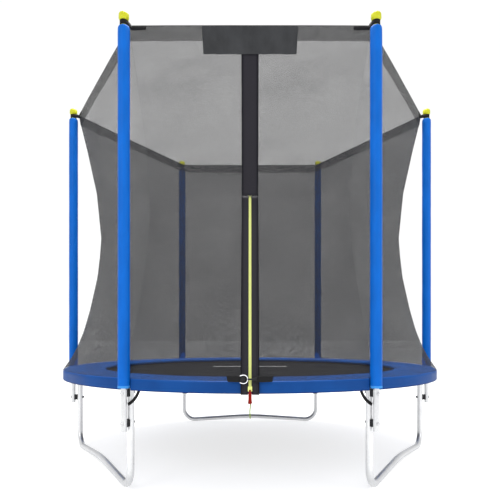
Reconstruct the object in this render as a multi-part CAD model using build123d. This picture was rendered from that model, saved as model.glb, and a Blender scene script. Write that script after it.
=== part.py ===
from build123d import *
import os
from math import asin, atan, cos, degrees, pi, radians, sin, sqrt, tan

# Garden trampoline with a safety net. Millimetres, Z up, the ground at Z = 0.
# The origin is on the ground below the centre of the mat, and the door faces -Y.

os.makedirs("parts", exist_ok=True)

# Layout: six poles on a circle, two of them to each leg frame
POLE_COUNT = 6
POLE_CIRCLE = 1259  # radius to the pole axes
PITCH = 360 / POLE_COUNT
POLE_ANGLES = [240 + PITCH * k for k in range(POLE_COUNT)]
PANEL_ANGLES = [angle + PITCH / 2 for angle in POLE_ANGLES]
DOOR_ANGLE = 270

# Ring of the frame
RING_RADIUS = 1211
RING_TUBE = 32
RING_Z = 530
WALL = 1.5
SPIGOT_GAP = 0.25
RING_SPIGOT = 45
COLLAR = 4

# Leg frames and their sockets
LEG_TUBE = 38
LEG_BEND = 100
LEG_BOW = 38
SOCKET_BOTTOM = 470
SOCKET_TOP = 522
LEG_TOP = 510

# Net poles
POLE_TUBE = 30
POLE_BOTTOM = 312
POLE_JOINT = 1300
POLE_TOP = 2352
POLE_SPIGOT = 80
SLEEVE_TUBE = 62
SLEEVE_BOTTOM = 529
SLEEVE_TOP = 2332
CAP_TUBE = 52
CAP_TOP = 2405

# Fasteners through pole, spacer and leg
BOLT_HEIGHTS = (351, 502)
BOLT = 8
BOLT_HOLE = 8.6
SPACER_HEIGHT = 36
SPACER_WIDTH = 24

# Mat and springs
MAT_RADIUS = 1035
MAT_THICKNESS = 3.5
MAT_BOTTOM = 546
MAT_EDGE = 980  # from here out the mat is a little thinner, below its hem
MAT_STEP = 0.2
HEM_WIDTH = 35
HEM_THICKNESS = 2
V_RING_Z = 543.7
V_RING_WIRE = 4
V_RING_REACH = 1060
SPRINGS_PER_SEGMENT = 8
SPRING_WIRE = 3.2
SPRING_COIL = 16
SPRING_START = 1084
SPRING_END = 1180
HOOK_RADIUS = 6.5
HOOK_HOLE = 9
HOOK_HOLE_RADIUS = 1207

# Edge pad
PAD_OUTER = 1252
PAD_INNER = 990
PAD_TOP = 578
PAD_THICKNESS = 25
SKIRT_BOTTOM = 518
SKIRT_THICKNESS = 3
PAD_EDGE = 12
POLE_NOTCH = 36

# Net: radius of its corner seams at each height, from the hem up
NET_CORNERS = [
    (556, 1257), (570, 1257), (586, 1248), (655, 1221), (760, 1203), (970, 1142),
    (1200, 1090), (1340, 1073), (1480, 1062), (1800, 1094), (2100, 1160),
    (2285, 1206), (2358, 1219),
]
NET_THICKNESS = 2
NET_HEM = 1257
NET_TOP = 2358
NET_NOTCH = 40
SEAM = 0.997  # share of a panel's half width that its cloth reaches
NET_NOTCH_TOP = 650
TOP_BAND_BOTTOM = 2285
BAND_THICKNESS = 2
BAND_GAP = 0.5

# Door: a straight, stiff line up the middle of its panel, from the pad's rim
# to the zip's top end. Cloth between other corners curves in to the same waist.
DOOR_RIM_RADIUS = 1253
DOOR_RIM_Z = 575
DOOR_WAIST = 924
DOOR_WAIST_Z = 1532
PANEL_BOW = 3  # how far a taut panel bows out between its corners
DOOR_BAND = 88
DOOR_BAND_BOTTOM = 529
ZIP_TAPE = 17
ZIP_BOTTOM = 530
ZIP_TOP = 1528
FABRIC = 1.5
ZIP_SLOT = 1
BAND_OFFSET = 0.5
BANNER_WIDTH = 485
BANNER_HEIGHT = 137
BANNER_LIFT = 7

# Zip slider and its pull
SLIDER_Z = 541
SLIDER_WIDTH = 20
SLIDER_LENGTH = 24
SLIDER_THICKNESS = 6
SLIDER_GAP = 0.5
PULL_PIN = 3
PULL_PIN_DROP = 8
PULL_EYE = 6
PULL_EYE_WIDTH = 10
PULL_WIDTH = 16
PULL_THICKNESS = 2
PULL_BOTTOM = 471

# Cord that hangs behind the pull
CORD = 4.5
CORD_DROPS = (0, 28, 58, 92, 122)
CORD_SWAYS = (0, 0, 2.5, -1.5, 1)

# Strap across the door, with its ring and toggle
STRAP_Z = 589
STRAP_HEIGHT = 28
STRAP_THICKNESS = 2.5
STRAP_HALF = 110
STRAP_FACE = 1275
STRAP_BEND = 62
STRAP_GAP = 16
STRAP_RING = 40
STRAP_RING_WIRE = 5
TOGGLE = 19

# Straps on the poles
CORNER_STRAP_HEIGHT = 20
CORNER_STRAP_THICKNESS = 2
TIE_WIDTH = 16
TIE_THICKNESS = 2.5
TIE_BOTTOM = 445
TIE_REACH = 78
TIE_TOP = 522
PAD_TIE_WIDTH = 18
PAD_TIE_THICKNESS = 3
PAD_TIE_ANGLE = 15


def arc_radius(near, far, rise):
    """Radius of an arc that is upright at `near` and reaches `far` over `rise`."""
    return ((far - near) ** 2 + rise**2) / (2 * (far - near))


DOOR_SLOPE = (DOOR_RIM_RADIUS - DOOR_WAIST) / (DOOR_WAIST_Z - DOOR_RIM_Z)
DOOR_TILT = atan(DOOR_SLOPE)
# The door's face: X across, Y up along its line, Z out of the net
DOOR = Plane(
    origin=(0, -DOOR_WAIST, DOOR_WAIST_Z), x_dir=(1, 0, 0),
    z_dir=(0, -cos(DOOR_TILT), sin(DOOR_TILT)),
)
PANEL_ARC = arc_radius(DOOR_WAIST, DOOR_RIM_RADIUS, DOOR_WAIST_Z - DOOR_RIM_Z)


def corner_radius(z):
    """Distance of the net's corner seams from the trampoline's axis."""
    for (low, near), (high, far) in zip(NET_CORNERS, NET_CORNERS[1:]):
        if z <= high:
            return near + (far - near) * (z - low) / (high - low)
    return NET_CORNERS[-1][1]


def taut_radius(z):
    """Distance of a panel's middle from the axis where it is pulled tight."""
    return corner_radius(z) * cos(radians(PITCH / 2)) + PANEL_BOW


def middle_radius(z):
    """Distance of a plain panel's middle line from the trampoline's axis."""
    if z < NET_CORNERS[2][0]:
        return corner_radius(z)
    if z > DOOR_WAIST_Z:
        return taut_radius(z)
    arc = DOOR_WAIST + PANEL_ARC - sqrt(PANEL_ARC**2 - (z - DOOR_WAIST_Z) ** 2)
    return max(taut_radius(z), arc)


def door_radius(z):
    """Distance of the door panel's middle line from the trampoline's axis."""
    if z > DOOR_WAIST_Z:
        return taut_radius(z)
    return min(DOOR_WAIST + DOOR_SLOPE * (DOOR_WAIST_Z - z), corner_radius(DOOR_RIM_Z))


def turned(shape, angle):
    return shape.moved(Rot(0, 0, angle))


def pipe(outer, inner, bottom, top, x=0, y=0):
    height = top - bottom
    body = Cylinder(outer / 2, height) - Cylinder(inner / 2, height)
    return Pos(x, y, (bottom + top) / 2) * body


def rod(diameter, start, end):
    """A round bar between two points."""
    start, end = Vector(*start), Vector(*end)
    middle = Plane(origin=(start + end) / 2, z_dir=end - start)
    return middle * Cylinder(diameter / 2, (end - start).length)


def ring_arc(outer, inner, first, last):
    """A curved tube of the frame's ring between two angles."""
    section = Pos(RING_RADIUS, RING_Z) * Circle(outer / 2)
    if inner:
        section -= Pos(RING_RADIUS, RING_Z) * Circle(inner / 2)
    arc = revolve(Plane.XZ * section, Axis.Z, last - first)
    return turned(arc, first)


def radial_holes():
    """Bolt holes through everything that stands at angle 0."""
    return [
        rod(BOLT_HOLE, (RING_RADIUS - 40, 0, z), (POLE_CIRCLE + 40, 0, z))
        for z in BOLT_HEIGHTS
    ]


def spring_angles():
    step = PITCH / SPRINGS_PER_SEGMENT
    return [step * (k + 0.5) - PITCH / 2 for k in range(SPRINGS_PER_SEGMENT)]


def ring_segment():
    """One sixth of the ring with its leg socket, spring holes and swaged end."""
    bore = RING_TUBE - 2 * WALL
    half = PITCH / 2
    spigot = bore - 2 * SPIGOT_GAP
    end = half + degrees(RING_SPIGOT / RING_RADIUS)
    collar = half - degrees(COLLAR / RING_RADIUS)
    body = ring_arc(RING_TUBE, bore, -half, half)
    body += ring_arc(RING_TUBE, spigot - 2 * WALL, collar, half)
    body += ring_arc(spigot, spigot - 2 * WALL, half - 0.01, end)
    socket = pipe(LEG_TUBE, LEG_TUBE - 2 * WALL, SOCKET_BOTTOM, SOCKET_TOP, RING_RADIUS)
    body += socket - ring_arc(RING_TUBE - WALL, 0, -5, 5)
    for angle in spring_angles():
        hole = Pos(HOOK_HOLE_RADIUS, 0, RING_Z + RING_TUBE / 2)
        body -= turned(hole * Cylinder(HOOK_HOLE / 2, RING_TUBE / 2), angle)
    return body - radial_holes()[1]


def leg_frame():
    """A bowed U of tube with two swaged tops, facing +X between two poles."""
    x = RING_RADIUS * cos(radians(PITCH / 2))
    y = RING_RADIUS * sin(radians(PITCH / 2))
    slope = atan(LEG_BOW / y)
    corner = LEG_TUBE / 2 - LEG_BEND * (tan(slope) + 1 / cos(slope) - 1)
    points = [
        (x, -y, SOCKET_BOTTOM), (x, -y, corner), (x, 0, corner + LEG_BOW),
        (x, y, corner), (x, y, SOCKET_BOTTOM),
    ]
    path = FilletPolyline(*points, radius=[LEG_BEND, 20 * LEG_BEND, LEG_BEND])
    start = Plane(origin=points[0], z_dir=(0, 0, -1))
    bore = LEG_TUBE - 2 * WALL
    body = sweep(start * Circle(LEG_TUBE / 2), path) - sweep(start * Circle(bore / 2), path)
    spigot = bore - 2 * SPIGOT_GAP
    for side in (-y, y):
        body += pipe(LEG_TUBE, spigot - 2 * WALL, SOCKET_BOTTOM - COLLAR, SOCKET_BOTTOM, x, side)
        body += pipe(spigot, spigot - 2 * WALL, SOCKET_BOTTOM, LEG_TOP, x, side)
    for side in (-PITCH / 2, PITCH / 2):
        for hole in radial_holes():
            body -= turned(hole, side)
    return body


def lower_pole():
    body = pipe(POLE_TUBE, POLE_TUBE - 2 * WALL, POLE_BOTTOM, POLE_JOINT, POLE_CIRCLE)
    for hole in radial_holes():
        body -= hole
    return body


def upper_pole():
    spigot = POLE_TUBE - 2 * WALL - 2 * SPIGOT_GAP
    bore = spigot - 2 * WALL
    body = pipe(POLE_TUBE, POLE_TUBE - 2 * WALL, POLE_JOINT, POLE_TOP, POLE_CIRCLE)
    body += pipe(POLE_TUBE, bore, POLE_JOINT, POLE_JOINT + COLLAR, POLE_CIRCLE)
    return body + pipe(spigot, bore, POLE_JOINT - POLE_SPIGOT, POLE_JOINT, POLE_CIRCLE)


def foam_sleeve():
    return pipe(SLEEVE_TUBE, POLE_TUBE + 1, SLEEVE_BOTTOM, SLEEVE_TOP, POLE_CIRCLE)


def pole_cap():
    """A mushroom knob with a narrow neck, open below to take the pole's top."""
    neck, head = POLE_TUBE / 2 + 3, CAP_TUBE / 2
    neck_bottom, head_bottom = SLEEVE_TOP + 3, CAP_TOP - 42
    profile = Polyline(
        (0, CAP_TOP), (8, CAP_TOP), (head - 6, CAP_TOP - 7), (head, CAP_TOP - 16),
        (head, head_bottom + 8), (head - 5, head_bottom), (neck, head_bottom - 2),
        (neck, neck_bottom), (POLE_TUBE / 2 + 0.2, neck_bottom),
        (POLE_TUBE / 2 + 0.2, POLE_TOP + 0.5), (0, POLE_TOP + 0.5), (0, CAP_TOP),
    )
    body = revolve(make_face(Plane.XZ * profile), Axis.Z, 360)
    return Pos(POLE_CIRCLE) * body


def spacers():
    """Plastic saddles that fill the gap between each pole and its leg."""
    inner, outer = RING_RADIUS, POLE_CIRCLE
    cutter = pipe(LEG_TUBE + 0.2, 0.01, 300, 560, inner) + Pos(inner, 0, 430) * Cylinder(1, 260)
    cutter += Pos(outer, 0, 430) * Cylinder(POLE_TUBE / 2 + 0.1, 260)
    blocks = []
    for z, hole in zip(BOLT_HEIGHTS, radial_holes()):
        block = Box((outer - inner), SPACER_WIDTH, SPACER_HEIGHT)
        block = Pos((inner + outer) / 2, 0, z) * block
        blocks.append(block - cutter - hole)
    return blocks


def bolt_head(face):
    """A shallow button head about the X axis, its flat side at x = face."""
    crown = Plane(origin=(face + 3.4, 0, 0), z_dir=(1, 0, 0)) * Cone(10, 5, 3)
    return rod(20, (face, 0, 0), (face + 2, 0, 0)) + crown


def bolts():
    """Domed coach bolts, head outside the pole and tip inside the leg."""
    head, tip = POLE_CIRCLE + POLE_TUBE / 2, RING_RADIUS - LEG_TUBE / 2 - 11
    parts = []
    for z in BOLT_HEIGHTS:
        shank = rod(BOLT, (tip, 0, z), (head + 1, 0, z))
        parts.append(shank + Pos(0, 0, z) * bolt_head(head))
    return parts


def nuts():
    face = RING_RADIUS - LEG_TUBE / 2
    parts = []
    for z in BOLT_HEIGHTS:
        facing = Plane(origin=(face, 0, z), z_dir=(-1, 0, 0))
        washer = extrude(facing * Circle(9), 1.5)
        nut = washer + extrude(facing * RegularPolygon(7.5, 6), 8)
        parts.append(nut - rod(BOLT + 0.2, (face + 1, 0, z), (face - 20, 0, z)))
    return parts


def v_ring():
    """A flat ring of wire that narrows to the bar its spring hooks round."""
    base, bar = MAT_RADIUS - 9, V_RING_REACH
    flat = make_face(Polyline((base, -13), (base, 13), (bar, 6), (bar, -6), close=True))
    outer = offset(flat, V_RING_WIRE / 2, kind=Kind.ARC)
    inner = offset(flat, -V_RING_WIRE / 2, kind=Kind.INTERSECTION)
    return Pos(0, 0, V_RING_Z - V_RING_WIRE / 2) * extrude(outer - inner, V_RING_WIRE)


def spring():
    """A closed coil as a tube, on one wire with a hook at each end."""
    x, z, bend = V_RING_REACH, V_RING_Z, HOOK_RADIUS
    far, diagonal = HOOK_HOLE_RADIUS, HOOK_RADIUS * sin(pi / 4)
    path = Wire([
        ThreePointArc((x, 0, z - bend), (x - bend, 0, z), (x, 0, z + bend)),
        Line((x, 0, z + bend), (far - bend, 0, z + bend)),
        ThreePointArc(
            (far - bend, 0, z + bend),
            (far - bend + diagonal, 0, z + diagonal),
            (far, 0, z),
        ),
        Line((far, 0, z), (far, 0, z - bend)),
    ])
    start = Plane(origin=(x, 0, z - bend), z_dir=(-1, 0, 0))
    wire = sweep(start * Circle(SPRING_WIRE / 2), path)
    coil = rod(SPRING_COIL, (SPRING_START, 0, z), (SPRING_END, 0, z))
    coil -= rod(SPRING_COIL - 2 * SPRING_WIRE, (SPRING_START - 1, 0, z), (SPRING_END + 1, 0, z))
    return wire + coil


def jumping_mat():
    top = MAT_BOTTOM + MAT_THICKNESS
    bed = pipe(2 * MAT_EDGE, 0, MAT_BOTTOM, top)
    return bed + pipe(2 * MAT_RADIUS, 0, MAT_BOTTOM, top - MAT_STEP)


def mat_hem():
    top = MAT_BOTTOM + MAT_THICKNESS - MAT_STEP
    return pipe(2 * MAT_RADIUS, 2 * (MAT_RADIUS - HEM_WIDTH), top, top + HEM_THICKNESS)


def safety_pad():
    """A foam ring over the springs, with a skirt outside the frame's ring."""
    width = PAD_OUTER - PAD_INNER
    slab = Pos(PAD_INNER + width / 2, PAD_TOP - PAD_THICKNESS / 2)
    profile = slab * RectangleRounded(width, PAD_THICKNESS, PAD_EDGE)
    drop = PAD_TOP - PAD_EDGE - SKIRT_BOTTOM
    skirt = Pos(PAD_OUTER - SKIRT_THICKNESS / 2, SKIRT_BOTTOM + drop / 2)
    profile += skirt * Rectangle(SKIRT_THICKNESS, drop)
    body = revolve(Plane.XZ * profile, Axis.Z, 360)
    for angle in POLE_ANGLES:
        body -= turned(Pos(POLE_CIRCLE, 0, PAD_TOP - 40) * Cylinder(POLE_NOTCH, 120), angle)
    return body


def pad_tie():
    """An elastic loop round the ring's tube, sewn to the underside of the pad."""
    loop = RING_TUBE + 1
    start = (RING_RADIUS, -PAD_TIE_WIDTH / 2, RING_Z)
    end = (RING_RADIUS, PAD_TIE_WIDTH / 2, RING_Z)
    body = rod(loop + 2 * PAD_TIE_THICKNESS, start, end)
    top = PAD_TOP - PAD_THICKNESS
    tab = Box(12, PAD_TIE_WIDTH, 8, align=(Align.CENTER, Align.CENTER, Align.MAX))
    body += Pos(RING_RADIUS, 0, top) * tab
    return body - rod(loop, start, end)


def net_curve(z, first, last, lift, middle_line):
    """One panel's outline at a height, between two shares of its half width."""
    corner, middle = corner_radius(z), middle_line(z)
    half = corner * sin(radians(PITCH / 2))
    bow = middle - corner * cos(radians(PITCH / 2))
    arc = (half**2 + bow**2) / (2 * bow)
    reach = asin(half / arc)

    def point(share):
        turn = reach * share
        return (middle - arc + (arc + lift) * cos(turn), (arc + lift) * sin(turn), z)

    return ThreePointArc(point(first), point((first + last) / 2), point(last))


def net_strip(heights, first, last, lift, thickness, middle_line=middle_radius):
    """A thin sheet on the net's surface, facing +X. A lift of 0 is the net's face."""
    sections = []
    for z in heights:
        near = net_curve(z, first, last, lift, middle_line)
        far = net_curve(z, first, last, lift + thickness, middle_line)
        ends = [Line(near @ 0, far @ 0), Line(near @ 1, far @ 1)]
        sections.append(make_face([near, far, *ends]))
    return loft(sections, ruled=True)


def net_panel(first, last, middle_line=middle_radius):
    heights = sorted([DOOR_WAIST_Z, *(z for z, radius in NET_CORNERS)])
    body = net_strip(heights, first, last, -NET_THICKNESS, NET_THICKNESS, middle_line)
    drop = NET_NOTCH_TOP - NET_CORNERS[0][0] + 20
    for side in (-PITCH / 2, PITCH / 2):
        notch = Pos(POLE_CIRCLE, 0, NET_NOTCH_TOP - drop / 2) * Cylinder(NET_NOTCH, drop)
        body -= turned(notch, side)
    return body


def top_band():
    """The dark hem round the net's top edge, one closed band."""
    heights = (TOP_BAND_BOTTOM, NET_TOP)
    over = 2 - SEAM
    band = net_strip(heights, -over, over, BAND_GAP, BAND_THICKNESS)
    return Part() + [turned(band, angle) for angle in PANEL_ANGLES]


def along_door(z):
    """Place up the door's line of a height on its face."""
    return (z - DOOR_WAIST_Z) / cos(DOOR_TILT)


def on_door(shape, x=0, along=0, lift=0):
    """Puts a shape on the door's face: x across, so far up its line and out of it."""
    return shape.moved(DOOR.location * Pos(x, along, lift))


def door_strip(width, middle, lift, thickness, low, high):
    """A flat strip on the door's face between two heights."""
    bottom, top = along_door(low), along_door(high)
    strip = Box(width, top - bottom, thickness)
    return on_door(strip, middle, (bottom + top) / 2, lift + thickness / 2)


def door_bands():
    """Webbing beside the zip on each side, joined above it up to the top band."""
    width = (DOOR_BAND - ZIP_SLOT) / 2
    bands = []
    for side in (-1, 1):
        middle = side * (width + ZIP_SLOT) / 2
        bands.append(door_strip(
            width, middle, BAND_OFFSET, FABRIC, DOOR_BAND_BOTTOM, DOOR_WAIST_Z
        ))
    share = DOOR_BAND / 2 / (corner_radius(DOOR_WAIST_Z) * sin(radians(PITCH / 2)))
    seams = [z for z, radius in NET_CORNERS if DOOR_WAIST_Z < z < TOP_BAND_BOTTOM]
    heights = [DOOR_WAIST_Z + 1, *seams, TOP_BAND_BOTTOM - 1]
    upper = net_strip(heights, -share, share, BAND_OFFSET, FABRIC)
    return [*bands, turned(upper, DOOR_ANGLE)]


def zip_tape():
    lift = BAND_OFFSET + FABRIC
    return door_strip(ZIP_TAPE, 0, lift, FABRIC, ZIP_BOTTOM, ZIP_TOP)


def banner():
    """A plain stiffened panel over the door, leaning with the net."""
    top = -(middle_radius(NET_TOP) + BANNER_LIFT)
    bottom = -(middle_radius(NET_TOP - BANNER_HEIGHT) + BANNER_LIFT)
    section = Polyline(
        (0, top, NET_TOP), (0, bottom, NET_TOP - BANNER_HEIGHT),
        (0, bottom - FABRIC, NET_TOP - BANNER_HEIGHT), (0, top - FABRIC, NET_TOP), close=True,
    )
    return extrude(make_face(section), BANNER_WIDTH / 2, both=True)


SLIDER_LIFT = BAND_OFFSET + 2 * FABRIC + SLIDER_GAP
PIN_LIFT = SLIDER_LIFT + SLIDER_THICKNESS - 1


def zip_slider():
    """A rounded slider whose lower end is forked, with a pin across the fork."""
    plate = RectangleRounded(SLIDER_WIDTH, SLIDER_LENGTH, 4)
    body = Pos(0, 0, SLIDER_LIFT) * extrude(plate, SLIDER_THICKNESS)
    inner = PULL_EYE_WIDTH / 2 + 0.6
    fork = Box(2 * inner, PULL_EYE + 4, 4 * SLIDER_THICKNESS)
    body -= Pos(0, -PULL_PIN_DROP - 1, PIN_LIFT) * fork
    for side in (-1, 1):
        start = (side * inner, -PULL_PIN_DROP, PIN_LIFT)
        body += rod(PULL_EYE, start, (side * SLIDER_WIDTH / 2, -PULL_PIN_DROP, PIN_LIFT))
    ends = [(side * (inner + 1), -PULL_PIN_DROP, PIN_LIFT) for side in (-1, 1)]
    return on_door(body + rod(PULL_PIN, *ends), 0, along_door(SLIDER_Z))


def zip_pull():
    """A webbing tab that lies along the door's line below the slider's pin."""
    half = PULL_EYE_WIDTH / 2
    pin = along_door(SLIDER_Z) - PULL_PIN_DROP
    bottom = along_door(PULL_BOTTOM - PIN_LIFT * sin(DOOR_TILT))
    hung = (Align.CENTER, Align.MAX, Align.CENTER)
    body = rod(PULL_EYE, (-half, 0, 0), (half, 0, 0))
    body += Box(PULL_EYE_WIDTH, PULL_EYE + 3, PULL_THICKNESS, align=hung)
    tab = Box(PULL_WIDTH, pin - bottom - PULL_EYE, PULL_THICKNESS, align=hung)
    body += Pos(0, -PULL_EYE) * tab
    body -= rod(PULL_PIN + 0.8, (-half - 1, 0, 0), (half + 1, 0, 0))
    return on_door(body, 0, pin, PIN_LIFT)


def door_cord():
    """A limp cord that hangs from the door's lower end: runs joined by tangent arcs."""
    top = DOOR.from_local_coords(Vector(0, along_door(DOOR_BAND_BOTTOM), BAND_OFFSET))
    points = [
        Vector(sway, top.Y - CORD, top.Z - drop) for sway, drop in zip(CORD_SWAYS, CORD_DROPS)
    ]
    runs = [b - a for a, b in zip(points, points[1:])]
    bends = []
    for before, after in zip(runs, runs[1:]):
        half_turn = radians(before.get_angle(after)) / 2
        bends.append(0.45 * min(before.length, after.length) / tan(half_turn))
    path = FilletPolyline(*points, radius=bends)
    print("door cord length", round(path.length, 1), "radii", [round(r) for r in bends])
    print("door cord points", [tuple(round(c, 1) for c in point) for point in points])
    start = Plane(origin=points[0], z_dir=runs[0])
    return sweep(start * Circle(CORD / 2), path)


def strap_half(side, inner):
    """Webbing from its seam on the net to the middle of the door."""
    seam = sqrt(NET_HEM**2 - STRAP_HALF**2) + 0.5
    back = [(STRAP_HALF, -seam), (STRAP_BEND, -STRAP_FACE), (inner, -STRAP_FACE)]
    front = [(x, y - STRAP_THICKNESS) for x, y in reversed(back)]
    outline = [(side * x, y) for x, y in back + front]
    body = extrude(make_face(Polyline(*outline, close=True)), STRAP_HEIGHT)
    return Pos(0, 0, STRAP_Z - STRAP_HEIGHT / 2) * body


def strap_ring():
    """A white snap ring that holds the toggle, its shank towards the right strap."""
    front = -STRAP_FACE - STRAP_THICKNESS - STRAP_RING_WIRE / 2 - 0.5
    centre = Plane(origin=(-STRAP_GAP - 4, front, STRAP_Z), z_dir=(0, -1, 0))
    ring = extrude(centre * Circle(STRAP_RING / 2), STRAP_RING_WIRE / 2, both=True)
    inner = extrude(centre * Circle(STRAP_RING / 2 - STRAP_RING_WIRE), STRAP_RING_WIRE, both=True)
    slot = Pos(-STRAP_GAP - 4 - STRAP_RING / 2, front, STRAP_Z) * Box(14, 12, 12)
    return ring - inner - slot


def strap_toggle():
    """The black toggle knob on the left strap, inside the ring."""
    front = -STRAP_FACE - STRAP_THICKNESS
    return Pos(-STRAP_GAP - 6, front - TOGGLE / 2 - 0.1, STRAP_Z) * Sphere(TOGGLE / 2)


def strap_shank():
    """The black bar that crosses the zip, from the ring to the right strap."""
    front = -STRAP_FACE - STRAP_THICKNESS - STRAP_RING_WIRE / 2 - 0.5
    start = -STRAP_GAP - 4 + STRAP_RING / 2
    bar = rod(6, (start, front, STRAP_Z), (STRAP_GAP + 12, front, STRAP_Z))
    plate = Pos(STRAP_GAP + 8, front + 0.7, STRAP_Z) * Box(14, 4.4, 22)
    return bar + plate


def corner_strap():
    """An elastic loop round the cap's neck, and its end on the net's corner."""
    bottom = NET_TOP - CORNER_STRAP_HEIGHT
    inner = POLE_TUBE + 6.4
    outer = inner + 2 * CORNER_STRAP_THICKNESS
    body = pipe(outer, inner, bottom, NET_TOP, POLE_CIRCLE)
    near = corner_radius(NET_TOP) + BAND_GAP + BAND_THICKNESS + 0.2
    far = POLE_CIRCLE - inner / 2
    tab = Box(far - near, CORNER_STRAP_THICKNESS, CORNER_STRAP_HEIGHT)
    tab = Pos((near + far) / 2, 0, NET_TOP - CORNER_STRAP_HEIGHT / 2) * tab
    return body + (tab - pipe(inner, 0.01, bottom - 1, NET_TOP + 1, POLE_CIRCLE))


def tie_strap(side):
    """A strap from between pole and leg up to the skirt, on one side of the pole."""
    x = RING_RADIUS + LEG_TUBE / 2 + 4
    rise = TIE_TOP - TIE_BOTTOM
    points = [(x, side * 4, TIE_BOTTOM), (x, side * 45, TIE_BOTTOM + 0.35 * rise)]
    arc = ThreePointArc(*points, (x, side * TIE_REACH, TIE_TOP))
    start = Plane(origin=arc @ 0, z_dir=arc % 0, x_dir=(1, 0, 0))
    return sweep(start * Rectangle(TIE_THICKNESS, TIE_WIDTH), arc)


def around(shape, angles=POLE_ANGLES):
    """Copies of a shape, or of several, turned to each angle."""
    shapes = shape if isinstance(shape, list) else [shape]
    return [turned(one, angle) for angle in angles for one in shapes]


def write(name, shape):
    if isinstance(shape, list):
        shape = Compound([solid for one in shape for solid in one.solids()])
    export_step(shape, f"parts/{name}.step")


def write_each(name, shape):
    for number, angle in enumerate(POLE_ANGLES, 1):
        write(f"{name}_{number}", turned(shape, angle))


def frame_parts():
    write_each("ring_segment", ring_segment())
    leg = leg_frame()
    write("leg_frame_right", turned(leg, POLE_ANGLES[1] + PITCH / 2))
    write("leg_frame_rear", turned(leg, POLE_ANGLES[3] + PITCH / 2))
    write("leg_frame_left", turned(leg, POLE_ANGLES[5] + PITCH / 2))
    write_each("lower_pole", lower_pole())
    write_each("upper_pole", upper_pole())
    write_each("foam_sleeve", foam_sleeve())
    write("pole_caps", around(pole_cap()))
    write("pole_spacers", around(spacers()))
    write("coach_bolts", around(bolts()))
    write("bolt_nuts", around(nuts()))


def mat_parts():
    write("jumping_mat", jumping_mat())
    write("mat_hem", mat_hem())
    angles = [pole + step for pole in POLE_ANGLES for step in spring_angles()]
    write("v_rings", around(v_ring(), angles))
    write("springs", around(spring(), angles))
    write("safety_pad", safety_pad())
    angles = [pole + side * PAD_TIE_ANGLE for pole in POLE_ANGLES for side in (-1, 1)]
    write("pad_ties", around(pad_tie(), angles))


def net_parts():
    names = ["right_front", "right_rear", "rear", "left_rear", "left_front"]
    panel = net_panel(-SEAM, SEAM)
    for name, angle in zip(names, PANEL_ANGLES[1:]):
        write(f"net_panel_{name}", turned(panel, angle))
    slot = 1 - SEAM
    write("net_panel_door_left", turned(net_panel(-SEAM, -slot, door_radius), DOOR_ANGLE))
    write("net_panel_door_right", turned(net_panel(slot, SEAM, door_radius), DOOR_ANGLE))
    write("net_top_band", top_band())
    write("corner_straps", around(corner_strap()))
    front = [turned(tie_strap(1), POLE_ANGLES[0]), turned(tie_strap(-1), POLE_ANGLES[1])]
    write("tie_straps", front)


def door_parts():
    write("door_bands", door_bands())
    write("zip_tape", zip_tape())
    write("banner", banner())
    write("zip_slider", zip_slider())
    write("zip_pull", zip_pull())
    write("door_cord", door_cord())
    write("door_strap_left", strap_half(-1, STRAP_GAP))
    write("door_strap_right", strap_half(1, STRAP_GAP))
    write("strap_ring", strap_ring())
    write("strap_toggle", strap_toggle())
    write("strap_shank", strap_shank())


frame_parts()
mat_parts()
net_parts()
door_parts()
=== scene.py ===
from math import asin, atan, cos, dist, exp, pi, radians, sin, sqrt, tau

import bmesh
import bpy
from mathutils import Matrix, Vector, noise


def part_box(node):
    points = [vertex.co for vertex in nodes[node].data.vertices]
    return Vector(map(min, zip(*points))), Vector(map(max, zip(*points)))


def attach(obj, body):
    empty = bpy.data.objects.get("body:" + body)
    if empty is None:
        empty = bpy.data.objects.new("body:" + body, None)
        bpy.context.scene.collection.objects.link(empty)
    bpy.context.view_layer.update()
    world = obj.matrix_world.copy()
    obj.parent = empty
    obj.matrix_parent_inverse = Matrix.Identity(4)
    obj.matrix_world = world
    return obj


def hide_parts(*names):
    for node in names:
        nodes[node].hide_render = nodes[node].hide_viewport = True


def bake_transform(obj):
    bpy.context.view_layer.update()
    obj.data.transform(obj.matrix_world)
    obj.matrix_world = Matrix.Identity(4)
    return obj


# Garden trampoline with a safety net. Metres, Z up, in the frame of the CAD model.

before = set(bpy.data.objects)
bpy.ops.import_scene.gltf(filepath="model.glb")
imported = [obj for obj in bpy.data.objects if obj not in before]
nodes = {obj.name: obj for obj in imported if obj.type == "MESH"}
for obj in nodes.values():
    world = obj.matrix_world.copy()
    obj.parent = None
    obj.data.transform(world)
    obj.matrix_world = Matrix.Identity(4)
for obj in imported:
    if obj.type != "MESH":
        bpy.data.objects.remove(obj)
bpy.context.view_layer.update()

# Layout, as in the CAD source
PITCH = radians(60)
POLE_CIRCLE = 1.259
POLE_ANGLES = [radians(240 + 60 * k) for k in range(6)]
PANEL_ANGLES = {
    "right_front": radians(330), "right_rear": radians(30), "rear": radians(90),
    "left_rear": radians(150), "left_front": radians(210),
}
DOOR_ANGLE = radians(270)
SLEEVE_RADIUS = 0.031
SLEEVE_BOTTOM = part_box("foam_sleeve_1")[0].z
SLEEVE_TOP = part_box("foam_sleeve_1")[1].z
TRIM_TOP = SLEEVE_BOTTOM + 0.012
POLE_RADIUS = 0.015
CAP_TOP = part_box("pole_caps")[1].z
CAP_HEAD = CAP_TOP - 0.042
LOOP_RADIUS = 0.0195

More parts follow.
